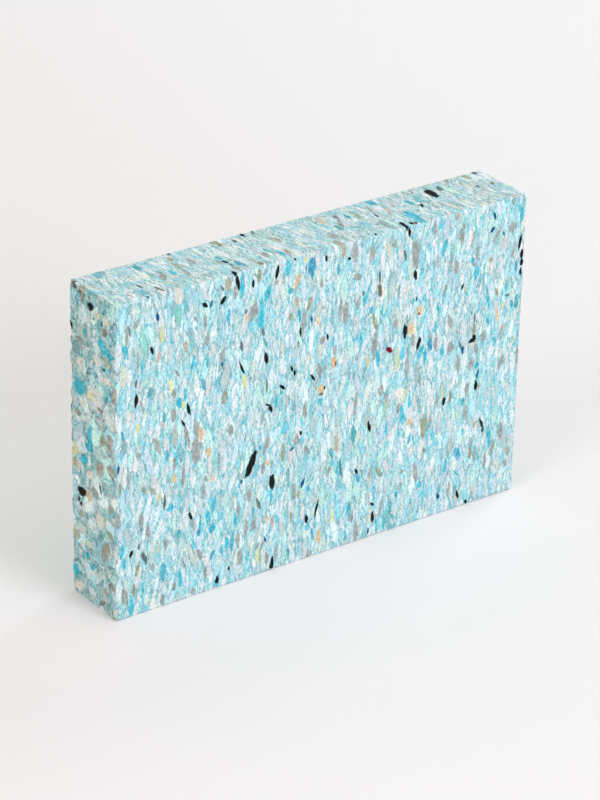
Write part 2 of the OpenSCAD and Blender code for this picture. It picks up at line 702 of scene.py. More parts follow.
# %% [markdown]
# ## Accent chips
# Some chips stand out: black and taupe ones, bright cyan, yellow, peach and one
# dark red. Each is one lens with a place, a size and a lean. On the sides that face
# the viewer every such chip has its own row, in mm: (along, up, half width, half
# height, lean in degrees). Lean is positive when the top leans towards the larger
# "along". One small shift for each side then moves all its rows together.

# %% Place the accent chips of the front
front_chips = {
    "black": (
        (-137.3, 143, 1.1, 4.6, 5), (-126.3, 173, 0.9, 2.7, -15), (-100.6, 128, 1.2, 4.2, -12),
        (-104.2, 119.5, 0.6, 2.2, -25), (-89.4, 192, 1.1, 2.3, -45), (-76.3, 192, 1.2, 2.8, 35),
        (-98.3, 55, 0.8, 3.2, -18), (-141.2, 43.3, 0.9, 2, 15), (-79.1, 6.5, 1.3, 2.7, 0),
        (-66, 199.8, 1.1, 5.2, -12), (-55, 197, 0.7, 2.3, 0), (-37.8, 200.5, 1, 4.6, 8),
        (-45, 146.2, 1.2, 3.7, -8), (-25, 205.5, 0.6, 0.9, 0), (-1.9, 200.3, 0.9, 2.1, 0),
        (-62.6, 144.6, 0.7, 4.3, -22), (-26, 134.5, 0.6, 2.2, -20), (-23.8, 131, 0.9, 1.5, 0),
        (-32.8, 123.8, 0.9, 2.7, -48), (-41.4, 112, 1.2, 3, -20), (-43.4, 115, 0.5, 1.8, -50),
        (-9.8, 124, 0.7, 2.8, -35), (0.2, 148.5, 0.6, 2.4, -10), (-1, 115, 0.7, 0.9, 0),
        (-55, 78, 2.3, 9.4, 24), (-57.3, 74.5, 1.1, 3.2, 0), (-39, 61.5, 1.9, 4.8, 0),
        (-5.2, 33, 0.8, 7.6, 13), (-12.6, 27.8, 1, 3, -5), (-38.3, 5, 1.3, 4.8, 3),
        (-70.5, 11.5, 0.7, 1.3, 0), (-18.2, 89, 0.8, 1.4, -15), (60.3, 202.5, 1.1, 3.2, -10),
        (65.9, 173, 1.2, 3.3, -8), (59.5, 137, 1.8, 5, 0), (70.3, 125.5, 1.3, 3.7, 18),
        (34, 78.5, 1.1, 3.9, -5), (25.2, 50, 0.8, 2.4, -28), (38.9, 14, 1.4, 4.5, 0),
        (38.4, 23.3, 0.7, 1.6, -40), (15.2, 196, 1.2, 0.9, 0), (148.3, 175, 1.1, 5.4, 8),
        (150, 166, 1.1, 3.2, 0), (150.2, 161, 1.4, 2.2, 0), (149.8, 155, 0.7, 3, 0),
        (114.3, 117.6, 1.5, 3, 0), (113.2, 116.9, 1.3, 2.5, 72), (92.4, 80, 1.5, 2.8, 0),
        (117.6, 85, 1.3, 4, -12), (124, 55.8, 0.8, 3.8, -22), (125.3, 51.5, 0.7, 2, 10),
        (106.8, 10, 0.9, 2.7, -15), (114, 2.7, 0.8, 1.9, -25), (103.4, 156, 0.8, 2, 10),
        (-19.9, 156.5, 0.9, 3.3, 0),
    ),
    "smoke": (
        (-137.2, 154, 0.6, 3, 5), (-141.6, 188.5, 0.5, 4, -8), (-117.3, 71, 0.7, 5, 3),
        (-131.8, 38, 1.2, 4.5, -20), (-62.8, 159, 0.9, 2.8, 0), (-49, 50, 1.1, 4, -20),
        (38.5, 178, 0.6, 4, 0), (57.5, 188.5, 0.9, 4, -12), (12.8, 57, 0.8, 7, -8),
        (114.3, 132, 0.7, 3.2, 0), (26.5, 170.5, 0.7, 1.4, 0), (-44.3, 128, 0.5, 4.4, 0),
        (104, 115.5, 0.7, 2.6, -20), (140, 141, 0.7, 1.6, 80), (78.2, 50, 0.8, 1.3, 0),
        (-76.8, 199.3, 0.7, 1.6, -30), (-47.5, 164, 0.8, 2.8, -15),
    ),
    "bark": ((-3.5, 111.4, 1.2, 1.5, 40), (39, 169.5, 1.4, 5, -10)),
    "umber": ((-110.3, 12, 1.1, 2.6, 0), (60.6, 144, 0.8, 3, 0)),
    "taupe": (
        (-143.3, 186, 1, 7, 3), (-136.5, 192, 1.4, 3.5, 25), (-87.6, 169.5, 1.6, 3.7, 0),
        (-136, 167, 0.7, 6, 0), (-111, 127, 1.6, 5, 0), (-122.8, 110, 1.8, 6, -20),
        (-95, 114, 1.9, 6.5, -8), (-101.5, 110, 1.3, 9, -10), (-95, 98.5, 3.2, 9.5, 3),
        (-77, 156, 1, 5, 0), (-89, 181, 1, 6, 0), (-135.8, 107, 1.4, 2.6, 0), (-104.3, 84, 1, 8, 3),
        (-89.5, 69, 1.2, 6, 0), (-88, 78, 1.4, 1.7, 0), (-97.3, 51, 1.1, 6, -12),
        (-129, 54, 1, 8, 0), (-133.8, 63, 1.4, 6, 0), (-143, 93, 1, 7, 0),
        (-145.8, 15, 2.3, 5.2, -10), (-92, 27.5, 1.4, 4.2, -20), (-87.8, 14, 1, 5, 0),
        (-96.5, 4, 2.3, 2.6, 0), (-119, 5, 1.6, 3.6, 0), (-126, 29.5, 1, 3.2, 0),
        (-117, 43.5, 1.2, 4, 0), (-103, 24, 0.8, 3.2, -20), (-110.5, 95, 1, 5, 0),
        (-67.7, 194.5, 1.6, 4.2, 0), (-54.5, 179, 2.9, 6.2, 10), (-5.5, 185, 1.2, 3.4, 0),
        (-17.8, 164, 1.6, 7, 5), (-5.5, 127, 1.3, 6, -10), (-3.7, 147, 1.6, 2.7, 0),
        (6, 138, 1.3, 3.2, 0), (-15.5, 104, 1.3, 6, 0), (9.6, 165, 1.3, 8, 0),
        (-70, 106, 2, 3.8, 0), (-56, 58, 1.6, 4.6, 0), (-44.2, 87, 1.4, 6.7, 22),
        (-46, 73, 1, 4, 10), (-21.5, 85.5, 1.6, 3.3, 10), (-13.5, 75, 1.4, 5, -10),
        (-22.5, 50, 1.4, 7, 0), (-52.5, 37, 1.7, 4.6, 8), (-58, 36, 1.3, 5, 0),
        (-64, 30, 1.5, 4.7, 0), (-62.5, 17, 1.7, 6, 0), (-35.5, 12, 1.1, 6, 0),
        (-42.5, 11, 1.1, 4.2, 0), (-49.5, 20, 0.9, 4, 25), (-64, 50, 1.4, 3.6, 0),
        (-24, 33, 1, 4.2, -10), (-10, 3, 2, 2.2, 0), (65.8, 185.5, 2.7, 9.5, -3),
        (36.3, 134, 1.8, 9, 3), (32, 195, 2, 5.2, 5), (21.8, 182.5, 1.9, 3.4, -50),
        (13.4, 160, 1.9, 8.6, 0), (19.5, 199, 2.5, 6.2, 0), (52, 144, 1.6, 2.4, 30),
        (62, 114, 1.3, 11, 0), (23, 165, 1.6, 4.2, 20), (42.5, 101, 1.9, 4.2, 0),
        (66, 129, 1.5, 4, 0), (23, 98, 1.2, 7, 0), (35.7, 46, 1.1, 3.6, 5),
        (71.8, 36, 1.7, 6.2, -5), (56.5, 85, 1.2, 4, 0), (26, 7.5, 1.8, 6, 0), (22.5, 20, 1, 4, 0),
        (45, 19, 1.2, 6, 15), (101.8, 189, 1.7, 7.2, -3), (98, 170.5, 1.7, 4.4, -5),
        (93.6, 175.5, 1.1, 5.7, 0), (141.5, 186.5, 2.4, 3.7, 0), (129.5, 184.5, 1.2, 5, 30),
        (94.7, 134, 1.4, 4.6, -15), (84, 122, 1.5, 5, -10), (96, 116.5, 2.2, 3.8, 0),
        (117, 109, 1.4, 4.6, -10), (122.5, 118, 1.5, 4, 0), (102.5, 103, 1.8, 6, 0),
        (143, 170, 1, 6, 8), (80, 200, 1.4, 6, 0), (87, 82, 1.2, 6, 0), (110.7, 83.5, 1.5, 4.7, 0),
        (134, 35, 1.5, 5, 12), (140, 46, 1.7, 7, -5), (99.5, 16.5, 1, 5, 8), (128, 28, 1.5, 5, 0),
        (137.5, 96, 1.5, 5.2, 20), (113, 100, 1.9, 5, 0), (82, 71, 1.2, 3.2, 0),
        (110.5, 68, 1.3, 6.2, -5), (150.5, 98, 1.2, 6, 0), (145.5, 22, 1.4, 2.2, 0),
        (114, 123, 1.2, 5, 0), (-150, 68, 1.5, 6, 0), (-133, 138, 0.7, 4.6, -15),
        (-95.5, 184.5, 0.7, 2.4, -35), (-108.5, 153.5, 0.6, 3.2, -30), (112, 169, 1.4, 1.7, 0),
    ),
    "olive": (
        (-110.8, 140.5, 1, 3.2, 0), (-74.5, 128.5, 1.7, 5, 0), (-126.3, 81, 1.2, 2.4, -15),
        (-136.8, 32, 1.1, 4.6, 15), (-139.5, 18, 1, 4.2, 0), (-51, 201, 1.4, 4.2, 0),
        (-13.6, 174.5, 1.2, 4.2, 20), (-27.8, 169, 1.2, 2.3, 0), (-31.3, 79, 1.6, 6, 0),
        (-19, 47, 1, 3.2, 0), (3.5, 57, 1.3, 3.2, 15), (36, 149, 1.4, 7.5, -18),
        (42.2, 45.3, 1.3, 4.6, -25), (77.2, 67, 2.5, 9.2, 6), (114, 177, 1, 6, 0),
        (97.5, 81.5, 1.1, 4, 0), (115.7, 37.3, 1.3, 4, 0), (61.5, 40, 0.9, 1.3, 0),
        (131.3, 145, 0.9, 3, -15), (-148.7, 88, 1.1, 5, 0), (-131.8, 84, 0.8, 3.2, -10),
        (102.5, 197, 0.7, 2.6, -15), (-21.5, 149, 0.9, 2.7, 0),
    ),
    "cyan": (
        (-143.5, 176, 0.8, 5, -10), (-145.8, 178, 0.8, 2.2, 0), (-133.3, 163, 0.7, 4, 0),
        (-97.6, 156, 1.2, 6.2, 10), (-72.5, 180, 1, 5.2, 0), (-107, 133.5, 1.6, 3.2, 0),
        (-103, 138, 0.9, 4.2, 0), (-113.5, 66, 2.5, 2.8, 0), (-81.8, 60, 1, 6, 8),
        (-91.7, 49, 0.8, 6, 5), (-86.2, 51, 1.6, 5, 0), (-83, 43, 2, 3.6, 0),
        (-147.5, 47, 1.3, 5, 8), (-146, 38, 1, 4, 0), (-118.5, 24, 1.7, 6.6, 0),
        (-106, 16, 1.4, 6.2, -5), (-72.3, 29, 1.1, 5, 0), (-76, 26.5, 1, 3, 0),
        (-116, 102, 1.2, 3.6, 0), (-133, 18, 1, 3.2, 0), (-63, 198.5, 1.5, 9, 0),
        (-44.5, 188, 2.2, 4.8, 20), (-48.8, 175, 2, 10.5, 0), (-30, 201, 1.6, 5.2, 0),
        (-21, 168, 0.9, 5, -8), (-37, 116, 1.2, 4.2, 0), (-39.5, 52.5, 0.7, 5, 0),
        (-12, 22.5, 1.3, 2.6, 0), (-66, 43.5, 1.3, 4.2, 0), (-68, 30, 1.1, 7, 5),
        (-53, 45, 0.9, 3.4, 0), (39, 124, 1.5, 6.7, -5), (28.8, 168, 1.2, 7, 18),
        (33.5, 158, 1.2, 2.2, 0), (72.5, 120, 1.7, 5.2, 22), (76, 116, 1.2, 5, 0),
        (25.8, 139.5, 1, 4, 0), (59.3, 80, 1.6, 7.2, -8), (65, 87, 1, 4.6, -5),
        (20.2, 24, 1.6, 6.6, 0), (48, 7, 0.9, 4, 5), (41.8, 9, 0.9, 5, 0),
        (75.5, 26.5, 1.7, 2.6, 0), (66, 61.5, 1, 4, 15), (148.3, 193.5, 1.2, 4.6, 0),
        (88.3, 186, 1.4, 6.4, 15), (110.7, 172, 1.2, 1.8, 0), (114.5, 163.5, 1.7, 4.8, 3),
        (124.3, 143, 0.9, 9, -12), (89.5, 116, 1.3, 4.2, 0), (117.5, 98.5, 1.5, 2.2, 0),
        (130.8, 44, 1.7, 8.2, -2), (95.5, 33, 0.9, 5, 8), (105, 26, 0.5, 3.4, -45),
        (130.7, 111.5, 1, 3.6, 0), (47.5, 73, 0.6, 4.4, 0), (-141, 7, 1.4, 5.7, 0),
        (18, 7.5, 0.9, 3.4, 0), (109, 54, 0.9, 3, 0),
    ),
    "teal": (
        (-128, 146, 1, 3.2, 20), (-87.2, 155, 0.8, 4, 0), (-117.5, 127, 1, 4, 0),
        (-107, 47, 1.4, 3.2, 0), (-27.7, 185.5, 1.7, 1.7, 0), (-46, 157, 0.7, 4, -25),
        (-4, 106.5, 1.5, 2.6, 0), (5.5, 69, 1.6, 3.6, 0), (-26, 8, 0.8, 4, 0),
        (62.2, 199, 0.8, 3.2, -30), (41, 154, 1, 2, 0), (22, 77, 1.9, 6, 0),
        (52.8, 16, 0.8, 4.6, 0), (54.8, 9.5, 0.8, 3.2, -25), (57, 25, 0.8, 2.6, -20),
        (138.7, 148, 0.9, 4.2, 0), (147.7, 135, 1.4, 4.6, 0), (84.5, 146.5, 0.8, 2.5, -25),
        (108, 75.5, 1.1, 3.7, 0), (91.5, 18.5, 1, 3.2, 0), (7.3, 190.5, 1.3, 2.9, 0),
        (-33.2, 120.5, 0.9, 1.3, 0),
    ),
    "petrol": (
        (-16.5, 197.7, 0.7, 1.6, 0), (134.5, 184, 0.7, 2, -35), (-84.8, 191.5, 0.7, 2.4, 20),
        (-76.8, 151, 0.9, 1.6, 0), (118.9, 92.5, 0.7, 3.6, 8), (-25, 80, 0.8, 1.8, 70),
        (-135.6, 47, 0.8, 1.9, 0), (-61.7, 68.5, 1, 1.6, 0), (-60, 180.2, 0.6, 1.5, 10),
    ),
    "blue": (
        (-90, 141, 1.2, 4.2, -12), (-146.5, 123.5, 0.7, 3.2, -15), (-12.5, 198, 2.6, 6.7, -5),
        (-83, 24.5, 1, 3.7, 30), (-7.7, 16, 0.8, 4.2, -10), (26.2, 45.5, 1.3, 3.2, -15),
        (79.8, 122.5, 1.4, 4.6, -8), (144, 134, 1.2, 2.7, 0), (105, 40.5, 2, 5, -12),
        (125, 127, 0.9, 2.2, -20), (146, 159, 1, 5, 0), (-11.7, 49.8, 1, 2.5, 0),
        (-48.3, 87.5, 0.7, 1.7, 0), (-93, 43.5, 1.3, 2.6, 0),
    ),
    "navy": (
        (-149.7, 102, 0.9, 3.2, 0), (-12, 163, 0.6, 3, 0), (-16, 54.5, 1.1, 3.4, 18),
        (-43.7, 23.5, 0.6, 1.7, -25), (67.5, 157, 0.7, 1.5, 0), (35.9, 5, 0.6, 2.3, 0),
        (126.7, 197.7, 1, 2.5, -15), (125.8, 189, 1, 2.1, 35), (105.7, 112, 0.8, 2.7, -10),
        (90.8, 14, 0.9, 2.6, -10), (-122.3, 192.6, 0.8, 2.5, -8),
    ),
    "yellow": (
        (-119.5, 181, 1.4, 5.6, 0), (-113.2, 147, 1.2, 4, -15), (-136, 125.5, 1.5, 3.5, 0),
        (-104.2, 131.5, 0.8, 2.2, 0), (-60.3, 135.5, 1.5, 4.6, 0), (-17.4, 203.5, 1, 1.9, 0),
        (54, 119.5, 1.3, 7.2, 0), (136.5, 134.5, 1, 2.7, 0), (7.5, 25, 1, 6.2, 0),
        (-49.5, 14, 1.2, 6, 0),
    ),
    "cream": (
        (-146, 160, 2.4, 7.6, 0), (-142.3, 134, 1.5, 5.2, 0), (45, 195, 1.9, 4.6, -15),
        (36, 14, 1.3, 5, 0), (-53, 23, 1.6, 2.2, 0), (103, 161, 1.2, 3.6, 0),
    ),
    "peach": (
        (-91.8, 109, 1.6, 4.2, -10), (-85.8, 95.5, 1.6, 2.8, 0), (-110.5, 85, 1.5, 3.4, 0),
        (-83.4, 77, 1.2, 2.1, 0), (-22.8, 191, 1.4, 5.6, 18), (-7.2, 161.2, 1.2, 2.4, 0),
        (5.2, 130.3, 1.9, 3.2, 0), (-3.8, 113.8, 2.3, 3.8, 0), (-42.5, 76, 1.3, 2.2, 0),
        (-3, 13, 1.7, 3.9, 0), (-42.7, 37, 1.2, 2.2, 0), (64, 137, 2.3, 4.2, 0),
        (70.2, 148, 1.5, 3.2, 0), (65.7, 72.8, 1.8, 2.3, 0), (36.3, 19.5, 0.8, 1.7, 0),
        (132.4, 129, 1.1, 5.2, -5), (31.2, 124, 1.1, 4.2, 0), (105.7, 153, 0.7, 2, 0),
        (-59.6, 176.4, 0.6, 1.8, 0),
    ),
    "tan": (
        (-102.5, 168.5, 1.4, 4.2, 0), (-73, 201, 2.2, 4.2, 0), (-38, 194, 1, 2.2, 0),
        (9, 74, 1.5, 6.2, 0), (11, 202, 1.9, 5.2, 0), (49.5, 197.5, 1, 3.2, 0),
        (118, 57, 1.5, 2.7, 0), (146.8, 30, 1.5, 3.2, 0), (60, 30, 1, 3.2, 0),
        (-7.2, 118.5, 1, 3.4, 10), (125, 168.5, 1.5, 1.8, 0),
    ),
    "salmon": (
        (-121.3, 167.5, 1, 3.2, 0), (-118.5, 121.8, 1.2, 2, 0), (-23, 177.5, 0.9, 4.2, 0),
        (-38.3, 34.5, 1, 4.2, 0), (110.3, 187, 0.9, 4.6, 0), (137.5, 120.5, 1.4, 2.2, 0),
        (98.3, 204, 1, 2.2, 0), (-151.5, 151, 1, 4.2, 0),
    ),
    "blush": (
        (65.7, 79.5, 2.7, 5.2, 0), (58, 165, 2, 5.2, 0), (74, 166, 1.4, 4.2, 0),
        (-127, 121, 1.8, 4.2, 0), (-117.5, 13, 1.2, 5.2, -15), (67.5, 52, 2, 4.2, 0),
        (135, 20.5, 1.8, 3.2, 0), (136, 177, 3.2, 5.6, 0),
    ),
    "petal": ((56.8, 94.8, 4, 4.3, 0), (-107.3, 202, 3, 5.2, 0), (63.3, 133.8, 1.3, 1.9, 0)),
    "mint": ((-131.5, 178, 2.4, 6.2, 0), (-107.5, 190, 1.9, 6.2, 0), (-81.5, 88, 1.5, 5.2, -10)),
    "snow_and_glint": (
        (-133, 46, 1.6, 3.2, 0), (-104, 36, 0.9, 3.6, 70), (-63, 9, 3.6, 3.8, 0), (8, 170, 1, 4, 0),
        (-33, 140, 1.6, 6, 0),
    ),
    "brick": ((48, 127.3, 1.8, 3, -55),),
    "rust": ((70, 146.2, 1, 1.4, 0), (6.9, 129.6, 0.6, 2, 0)),
}
print("front accents:", sum(len(chips) for chips in front_chips.values()))

# %% Place the accent chips of the top and of the moulded end
top_chips = {
    "black": (
        (103.8, 10.5, 2.7, 6.2, 0), (86.6, -1.8, 1, 3.6, 30), (54, 1.2, 0.7, 2.5, 18),
        (59, -20, 1.3, 6, 0), (64.5, -19.5, 1.2, 2.1, 0), (-31.3, 21.5, 1, 3, 0),
        (-62.8, -5.5, 1.1, 3, -15), (-67, -21.5, 1.2, 3, 0), (36, -21.5, 0.7, 1.3, 30),
        (85.4, -0.4, 0.7, 1.8, 70),
    ),
    "smoke": (
        (112.3, 13.5, 1.7, 3.8, 20), (-116, -16.5, 0.7, 4, -10), (-24, 21, 0.6, 2.2, 20),
        (-61.7, -10.5, 0.7, 2.6, 0), (-123.5, -7, 0.8, 3.2, 0), (31.5, 12, 0.8, 3.2, 0),
        (-40.2, 17.3, 1, 2.6, 0), (146.5, 22, 1.3, 1.8, 0), (-83.5, 23, 1.1, 2.6, 40),
    ),
    "bark": ((67, -20.5, 1.2, 1.7, 0),),
    "hazel": (
        (-87, 15.5, 1.6, 3.4, 25), (-24.2, -14.5, 1.3, 4.6, 15), (138, 19.5, 1.7, 4, -10),
        (-18.5, 5, 1.7, 4.7, 0),
    ),
    "taupe": (
        (-104.5, -2.5, 1.9, 5.2, 25), (-65.5, -4, 1.2, 3.2, 0), (-62, -17, 1.2, 5, 0),
        (-37, -10, 2.2, 3.6, 0), (-78.5, 7, 1.3, 5, 0), (27.5, 2, 1.2, 7, 25),
        (13.5, -9, 2.3, 6, 0), (44, 8, 1.3, 7, 0), (-90, -6, 1, 4, 0), (123, 20, 1.2, 5, 30),
        (49, -12, 1, 6, 0), (94.5, 20, 0.9, 3.2, 0), (-135, -13, 0.6, 3.8, 0), (56, 10, 0.7, 5, 10),
    ),
    "olive": ((-51.5, 20, 2.1, 5.2, -10), (-58.5, -4.5, 0.9, 1.6, 0), (-46, -18, 1.3, 2.6, 0)),
    "cyan": (
        (-96.3, -1, 1.3, 3.6, 0), (-27.5, -13, 1.2, 4.6, 0), (72, -13, 2.9, 10, 0),
        (83, 6, 1.2, 5.2, 0), (91.5, 6, 1, 6, 0), (63, 19, 1.7, 5.2, -10),
    ),
    "aqua": ((-135.5, 20, 2.3, 3.2, 0), (-126.5, -16.5, 2.6, 2.6, 0)),
    "teal": (
        (-110, 15.5, 1.9, 3.7, 0), (-62, 2, 0.9, 3.2, 0), (-33, -5, 1, 4, 0),
        (23.5, -1, 1.5, 4.2, 0), (16, 12.5, 0.8, 1.6, 0), (38, 10, 1.2, 3.2, 0),
    ),
    "petrol": ((-127.5, -21.5, 0.6, 1.9, 0),),
    "blue": ((-56.7, -13, 1.4, 4.6, -10),),
    "navy": ((134.3, 3.5, 0.7, 1.9, 0),),
    "peach": ((21.3, 13, 1, 4.2, 20),),
    "tan": ((9.5, -20, 1.3, 5, 0), (-89.5, 5, 0.9, 5, 0), (-151.3, 11, 1.2, 2.2, 0)),
    "salmon": ((64.5, 4, 0.9, 5, 0), (19.2, 14.5, 0.8, 4.6, 18)),
    "petal": ((135.5, 14, 1.5, 2, 0), (139.8, 4, 0.8, 3, 10)),
    # painted glint: this pale chip at the corner with the moulded end stands for a highlight
    "snow_and_glint": ((-151.4, 16, 0.8, 2.6, 0),),
    "rust": ((145.7, 3, 0.9, 2.6, 15),),
}
end_chips = {
    "black": (
        (2.8, 197, 3.5, 3.1, -15), (22.9, 177.5, 1.4, 3, 0), (13.2, 71.3, 4.7, 3.3, 0),
        (14.6, 63.4, 1.6, 1.1, 0), (17.6, 65.5, 0.9, 2, 0), (-11.3, 161.5, 1, 0.7, 0),
    ),
    "smoke": (
        (5.8, 153, 2.1, 0.8, 20), (-7.2, 82.5, 0.5, 4.6, 7), (24, 151, 0.7, 4, 0),
        (23.4, 127, 0.7, 4, 0), (-9, 190, 0.8, 1.8, 0),
    ),
    "bark": ((18.8, 204.4, 3.6, 2.4, 0), (11.6, 202.4, 1.2, 1.6, 0)),
    "umber": (
        (-19.5, 22, 3.6, 2.5, 0), (-7.5, 5.5, 4.8, 1.6, 34), (-7, 134, 3, 1.2, 0),
        (-12.5, 186, 2.2, 2.5, 0), (10.8, 199.6, 1.5, 4.6, -6),
    ),
    "hazel": (
        (19.4, 40.6, 3, 3, 0), (-17.5, 114.5, 4.2, 6.4, 0), (-6.5, 95, 3.9, 4.3, 0),
        (-18.5, 98.5, 4, 3.5, 0), (14.2, 57.2, 4, 2, 35), (-12, 42.5, 3.5, 7, -25),
        (12, 166.5, 1.8, 2.4, 0), (-17.5, 73, 2.2, 2.6, 0), (-22, 148, 1.9, 4.2, 0),
    ),
    "taupe": ((15.5, 170, 4.4, 2.4, 0), (-1, 78, 4.4, 2.8, 0), (17, 123, 3, 2.2, 0)),
    "olive": ((-10.5, 115.5, 3.6, 3, 25), (-17, 56, 3.2, 2.5, 0)),
    "cyan": (
        (-10.5, 176, 5.2, 5.2, 0), (-18, 172.6, 4.6, 2, 8), (14.3, 140.5, 7.8, 4.4, 20),
        (4.2, 112.3, 2.4, 7.2, 0), (5, 105, 3.7, 2.6, 0), (10.5, 94.5, 4.2, 2.6, 20),
        (7, 31.5, 2, 2.2, 0), (2, 26.3, 2.8, 2.3, 0), (20, 16, 2.7, 4.8, 0),
    ),
    "teal": ((8, 177.5, 2.6, 2.9, 0),),
    "blue": ((-8.5, 19.3, 2.2, 3, -30), (-15, 144, 1.4, 2.8, -30)),
    "straw": ((2.5, 139.8, 4.9, 2.9, 25), (16.4, 88.5, 2.2, 3.2, 0), (21, 97.5, 3.8, 4.4, 0)),
    "cream": (
        (-14.4, 193.4, 4, 3, 0), (-5, 194, 3, 2.4, 0), (6, 40, 3, 2.2, 0), (-22, 5, 2.6, 4.6, 0),
        (-21, 128, 2.4, 3, 0),
    ),
    "peach": ((-16, 193.8, 1.2, 1.5, 0), (5.6, 72.6, 3.2, 3.2, 0), (22.8, 42, 1.4, 2.8, 0)),
    "tan": (
        (20.6, 89, 3.4, 3.4, 0), (-13, 15.3, 2, 2.8, -20), (-13.4, 168.6, 2.2, 1.9, 0),
        (-16.6, 166.4, 2, 1.8, 0), (11, 205, 2.6, 2.2, 0),
    ),
    "petal": (
        (-4, 164.5, 4.2, 4, 0), (14.5, 156.6, 4.2, 4.2, 0), (12, 131, 3.2, 3.2, 0),
        (-6.2, 61, 4.7, 5.6, 0), (17, 6.5, 7.4, 3.6, 25), (12, 36.5, 3.2, 2.8, 0),
        (4, 86.5, 4.2, 2.8, 0), (-13, 155, 4.4, 3, 0),
    ),
    # painted glint: this pale chip at the top corner of the moulded end stands for a highlight
    "snow_and_glint": ((15.4, 206, 1.8, 0.9, 0),),
    "bare": ((-21.8, 79, 3, 4.2, 0), (-22.4, 44, 2, 4, 0)),
}
print("top accents:", sum(len(chips) for chips in top_chips.values()))
print("end accents:", sum(len(chips) for chips in end_chips.values()))

# %% [markdown]
# Each chip becomes a lens that reaches into the block, by a share of its height, so
# it also shows where it crosses an edge. Three rows of numbers turn and squash the
# space round it until the lens has a radius of one. The sides that the viewer can't
# see borrow the chips of the seen ones: each is laid down at a chance place, as
# crowded as on its model, so the block looks the same all round. Those chips keep a
# few millimetres off the rims, so none of them reaches round an edge.

# %% Turn chips into lenses
end_depth = 0.7
chip_depth_share = 0.8
deepest_chip = 4.5
end_chip_depth = 2.6
lens_growth = (0.2, 0.3)


def side_frame(axis, end):
    """A side's middle in mm, and its along, up and depth axes as whole numbers."""
    middle = np.array([0.0, 0.0, height / 2])
    reach = (length / 2, thickness / 2, height / 2)[axis]
    middle[axis] += reach if end else -reach
    along, up = side_axes[axis]
    return middle, (along, up, axis)


def lens_on_side(axis, end, colour, chip):
    """One chip as its colour, its middle in mm and three rows that squash it to a unit lens."""
    along_at, up_at, half_width, half_height, lean = chip
    middle, (along, up, depth) = side_frame(axis, end)
    middle[along] = along_at
    middle[up] = up_at
    if axis == 0:
        middle[0] -= math.copysign(end_depth, middle[0])
    half_depth = end_chip_depth if axis == 0 else min(half_height * chip_depth_share, deepest_chip)
    turn = math.radians(lean)
    half_width += lens_growth[0]
    half_height += lens_growth[1]
    rows = np.zeros((3, 3))
    rows[0, along] = math.cos(turn) / half_width
    rows[0, up] = -math.sin(turn) / half_width
    rows[1, along] = math.sin(turn) / half_height
    rows[1, up] = math.cos(turn) / half_height
    rows[2, depth] = 1.0 / half_depth
    return colour, middle, rows


seen_sides = {
    "front": (1, 0, front_chips, (0.1, -0.7)),
    "top": (2, 1, top_chips, (-0.5, -0.6)),
    "moulded end": (0, 0, end_chips, (0.0, -0.4)),
}
for side_name, (side_axis, side_end, _, shift) in seen_sides.items():
    middle = [round(at, 2) for at in side_frame(side_axis, side_end)[0].tolist()]
    print(f"the {side_name} lies round {middle} mm, its chips shifted by {shift} mm")

# %% Strew chips on the hidden sides
strew_seed = 24
strew_margin = 4.0


def flat_list(chips_by_colour):
    """Every (colour, chip) pair of a dictionary of chips."""
    return [(colour, chip) for colour, chips in chips_by_colour.items() for chip in chips]


def shifted_list(chips_by_colour, shift):
    """The same pairs, with every chip moved by a shift and set on a tenth of a mm."""
    pairs = flat_list(chips_by_colour)
    moved = [[round(at + by, 1) for at, by in zip(chip, shift)] for _, chip in pairs]
    return [(colour, (*place, *chip[2:])) for (colour, chip), place in zip(pairs, moved)]


def strewn(axis, end, model, rng):
    """Chips picked from a model side and laid at chance places on another side."""
    middle, (along, up, _) = side_frame(axis, end)
    half_sizes = [side / 2 - strew_margin for side in (length, thickness, height)]
    pairs = flat_list(model)
    chips = []
    for pick in rng.integers(len(pairs), size=len(pairs)):
        colour, chip = pairs[pick]
        place = [middle[a] + rng.uniform(-1, 1) * half_sizes[a] for a in (along, up)]
        chips.append(lens_on_side(axis, end, colour, (*place, *chip[2:])))
    return chips


rng = np.random.default_rng(strew_seed)
lenses = []
for side_axis, side_end, chips, shift in seen_sides.values():
    pairs = shifted_list(chips, shift)
    lenses += [lens_on_side(side_axis, side_end, *pair) for pair in pairs]
for side_axis, side_end, chips, _ in seen_sides.values():
    lenses += strewn(side_axis, 1 - side_end, chips, rng)
print("accent lenses in all:", len(lenses))

# %% Mix the accent paints


def paint(red, green, blue):
    """A colour on a screen's scale of 0 to 255, as Blender's linear colour."""
    shares = [channel / 255 for channel in (red, green, blue)]
    linear = [s / 12.92 if s <= 0.04045 else ((s + 0.055) / 1.055) ** 2.4 for s in shares]
    return (*linear, 1.0)


accent_paints = {
    "black": paint(21, 26, 26),
    "smoke": paint(103, 115, 113),
    "taupe": paint(160, 166, 160),
    "umber": paint(148, 137, 124),
    "bark": paint(108, 101, 82),
    "hazel": paint(172, 164, 148),
    "petal": paint(229, 227, 215),
    "olive": paint(156, 160, 130),
    "cyan": paint(64, 189, 211),
    "teal": paint(72, 178, 186),
    "blue": paint(64, 166, 200),
    "navy": paint(14, 90, 138),
    "petrol": paint(40, 118, 140),
    "aqua": paint(122, 200, 214),
    "yellow": paint(219, 224, 163),
    "straw": paint(216, 213, 172),
    "cream": paint(219, 227, 207),
    "peach": paint(228, 195, 144),
    "tan": paint(182, 178, 152),
    "salmon": paint(205, 183, 167),
    "blush": paint(213, 220, 217),
    "mint": paint(147, 221, 203),
    # pale chips, and at the corner of the top and the moulded end a painted glint
    "snow_and_glint": paint(213, 231, 233),
    "bare": paint(250, 252, 246),
    "brick": paint(134, 14, 24),
    "rust": paint(153, 89, 49),
}
print("accent paints:", ", ".join(accent_paints))

